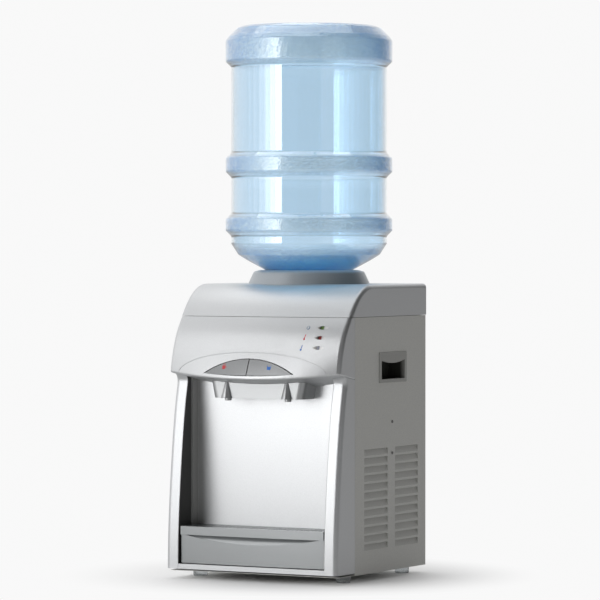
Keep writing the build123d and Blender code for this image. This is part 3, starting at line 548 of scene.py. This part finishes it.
def ring_arc(x, z, radius, thick, start, end, steps=20):
    """A curved bar as one outline, angles in degrees."""
    angles = [radians(start + (end - start) * k / steps) for k in range(steps + 1)]
    outer = [(x + radius * cos(a), z + radius * sin(a)) for a in angles]
    inner = [(x + (radius - thick) * cos(a), z + (radius - thick) * sin(a)) for a in reversed(angles)]
    return outer + inner


def bar(x, z, wide, tall, lean=0.0, taper=1.0):
    """A bar centred on (x, z), leaning sideways by lean at its top; taper scales its foot."""
    half = wide / 2
    return [(x - half * taper - lean, z - tall / 2), (x + half * taper - lean, z - tall / 2),
            (x + half + lean, z + tall / 2), (x - half + lean, z + tall / 2)]


def print_material(name, colour):
    """Screen-printed ink."""
    return surface(name, colour, rough=(0.4, 0.5), scale=2500.0, change=0.1)


def hot_cup(x, z):
    """A cup with a handle and steam."""
    body = bar(x, z - 1.2 * MM, 6.4 * MM, 5.6 * MM, taper=0.78)
    handle = ring_arc(x + 3.4 * MM, z - 1.2 * MM, 1.7 * MM, 0.7 * MM, -80, 80, 10)
    steam = [bar(x + dx, z + 3.4 * MM, 0.7 * MM, 2.4 * MM, lean=0.35 * MM)
             for dx in (-1.6 * MM, 0.2 * MM, 2.0 * MM)]
    return [body, handle] + steam


def cold_cup(x, z):
    """A half-full glass."""
    body = bar(x, z - 1.6 * MM, 6.8 * MM, 5.0 * MM, taper=0.85)
    walls = [bar(x + dx, z + 2.0 * MM, 0.7 * MM, 2.6 * MM) for dx in (-3.1 * MM, 3.1 * MM)]
    return [body] + walls


def thermometer(x, z):
    """A leaning stem on a bulb."""
    bulb = ring_arc(x - 0.4 * MM, z - 3.2 * MM, 1.6 * MM, 1.55 * MM, 0, 359, 20)
    stem = bar(x + 0.3 * MM, z + 0.9 * MM, 1.3 * MM, 6.4 * MM, lean=0.5 * MM)
    return [bulb, stem]


def power_sign(x, z):
    """An open ring with a bar in its gap."""
    return [ring_arc(x, z, 2.9 * MM, 0.6 * MM, 120, 420, 26), bar(x, z + 2.2 * MM, 0.6 * MM, 2.6 * MM)]


def build_symbols():
    """A cup on each button, and a sign beside each indicator."""
    red = print_material("print_red", (0.62, 0.04, 0.05))
    blue = print_material("print_blue", (0.03, 0.16, 0.55))
    slate = print_material("print_slate", (0.12, 0.20, 0.32))
    fascia = surface_tree("front_panel")
    for name, body, rings, ink, slot in (
        ("hot_mark", "hot_button", hot_cup(-44 * MM, 340 * MM), red, "red_lens"),
        ("cold_mark", "cold_button", cold_cup(38 * MM, 340 * MM), blue, "blue_lens"),
    ):
        lay_print(name, rings, ink, surface_tree(body), body)
    lay_print("power_mark", power_sign(90 * MM, 402 * MM), slate, fascia, "cabinet")
    lay_print("heating_mark", thermometer(88 * MM, 387.5 * MM), red, fascia, "cabinet")
    lay_print("cooling_mark", thermometer(86 * MM, 371 * MM), blue, fascia, "cabinet")


# ---------------------------------------------------------------- studio

BRIGHT_SIDE = (-0.75, 0.63, 0.20)
BACKDROP = 0.945  # how bright the room and the far floor look to the camera


def area_light(name, place, target, size, energy):
    """A white rectangular lamp at place, turned to target."""
    lamp = bpy.data.lights.new(name, "AREA")
    lamp.shape = "RECTANGLE"
    lamp.size, lamp.size_y = size
    lamp.energy = energy
    holder = bpy.data.objects.new(name, lamp)
    bpy.context.collection.objects.link(holder)
    holder.location = place
    holder.rotation_euler = (Vector(target) - Vector(place)).to_track_quat("-Z", "Y").to_euler()


def studio_world():
    """A room that is white to the camera, and nearly so to what is seen through the bottle.

    To everything else it is bright on the far left and dark on the right and in front.
    """
    world = bpy.data.worlds.new("studio")
    bpy.context.scene.world = world
    world.use_nodes = True
    tree = world.node_tree
    ground = tree.nodes["Background"]
    place = add(tree, "ShaderNodeTexCoord")
    toward = add(tree, "ShaderNodeVectorMath", operation="DOT_PRODUCT")
    toward.inputs[1].default_value = BRIGHT_SIDE
    ramp = add(tree, "ShaderNodeMapRange")
    ramp.inputs["From Min"].default_value = 0.15
    ramp.inputs["From Max"].default_value = 0.70
    ramp.inputs["To Min"].default_value = 0.035
    ramp.inputs["To Max"].default_value = 0.93
    path = add(tree, "ShaderNodeLightPath")
    seen = add(tree, "ShaderNodeMix")
    seen.inputs["B"].default_value = BACKDROP
    tree.links.new(place.outputs["Generated"], toward.inputs[0])
    tree.links.new(toward.outputs["Value"], ramp.inputs["Value"])
    through = add(tree, "ShaderNodeMath", operation="MULTIPLY")
    through.inputs[1].default_value = 0.7
    direct = add(tree, "ShaderNodeMath", operation="MAXIMUM")
    tree.links.new(path.outputs["Is Transmission Ray"], through.inputs[0])
    tree.links.new(path.outputs["Is Camera Ray"], direct.inputs[0])
    tree.links.new(through.outputs[0], direct.inputs[1])
    tree.links.new(direct.outputs[0], seen.inputs["Factor"])
    tree.links.new(ramp.outputs["Result"], seen.inputs["A"])
    tree.links.new(seen.outputs["Result"], ground.inputs["Color"])


def floor():
    """A pale floor that takes the shadow near the object and fades into the room further off.

    Its far part is half as bright in reflections as it is to the camera and through the bottle.
    """
    bpy.ops.mesh.primitive_grid_add(x_subdivisions=8, y_subdivisions=8, size=60, location=(0, 0, 0))
    ground = bpy.context.active_object
    ground.name = "floor"
    made, shader = material("floor_paper")
    tree = made.node_tree
    grain(made, shader, 300.0, 0.0001, [(0.88, 0.88, 0.88), (0.90, 0.90, 0.90)])
    set_inputs(shader, Roughness=0.6, Specular_IOR_Level=0.2)
    place = add(tree, "ShaderNodeTexCoord")
    length = add(tree, "ShaderNodeVectorMath", operation="LENGTH")
    fade = add(tree, "ShaderNodeMapRange", interpolation_type="SMOOTHSTEP")
    fade.inputs["From Min"].default_value = 0.10
    fade.inputs["From Max"].default_value = 0.40
    light = add(tree, "ShaderNodeEmission", Color=(BACKDROP, BACKDROP, BACKDROP, 1))
    path = add(tree, "ShaderNodeLightPath")
    glow = add(tree, "ShaderNodeMapRange")
    glow.inputs["To Min"].default_value = 0.50
    glow.inputs["To Max"].default_value = 1.0
    direct = add(tree, "ShaderNodeMath", operation="MAXIMUM")
    tree.links.new(path.outputs["Is Camera Ray"], direct.inputs[0])
    tree.links.new(path.outputs["Is Transmission Ray"], direct.inputs[1])
    tree.links.new(direct.outputs[0], glow.inputs["Value"])
    tree.links.new(glow.outputs["Result"], light.inputs["Strength"])
    blend = add(tree, "ShaderNodeMixShader")
    tree.links.new(place.outputs["Object"], length.inputs[0])
    tree.links.new(length.outputs["Value"], fade.inputs["Value"])
    tree.links.new(fade.outputs["Result"], blend.inputs["Fac"])
    tree.links.new(shader.outputs[0], blend.inputs[1])
    tree.links.new(light.outputs[0], blend.inputs[2])
    tree.links.new(blend.outputs[0], tree.nodes["Material Output"].inputs["Surface"])
    ground.data.materials.append(made)


def camera():
    """A long lens to the right of the front, looking almost level from above the cabinet's lid."""
    azimuth = radians(29.25)
    dip = radians(0.96)
    distance = 6.1023
    height = 0.5447
    aside = 0.0146
    ahead = Vector((-sin(azimuth), cos(azimuth), 0))
    right = Vector((cos(azimuth), sin(azimuth), 0))
    lens = bpy.data.cameras.new("camera")
    lens.lens = 226.2
    lens.clip_end = 100
    eye = bpy.data.objects.new("camera", lens)
    bpy.context.collection.objects.link(eye)
    eye.location = Vector((0, AXIS_Y, height)) - ahead * distance - right * aside
    look = ahead * cos(dip) - Vector((0, 0, sin(dip)))
    eye.rotation_euler = look.to_track_quat("-Z", "Y").to_euler()
    bpy.context.scene.camera = eye


def lights():
    """One wide softbox on the left, brightest at its right end, a soft top light and a faint fill."""
    right = Vector((-0.40, -1.96))
    left = Vector((-1.99, -0.15))
    tall = 1.8
    strips = 8
    wide = (left - right).length / strips
    for k in range(strips):
        across = right.lerp(left, (k + 0.5) / strips)
        glow = 3.8 * (1 - k / strips) ** 2.5
        power = glow * pi * wide * tall
        area_light(f"key_{k}", (across.x, across.y, 0.85), (0, 0, 0.6), (wide, tall), power)
    area_light("top", (-0.3, 0.1, 2.6), (0, 0, 0), (2.4, 2.4), 20)
    area_light("fill", (2.1, -1.15, 0.8), (0, 0, 0.4), (1.2, 1.8), 1.1)


paint_frame()
build_bottle()
build_symbols()
studio_world()
floor()
lights()
camera()
bpy.context.scene.view_settings.view_transform = "Standard"
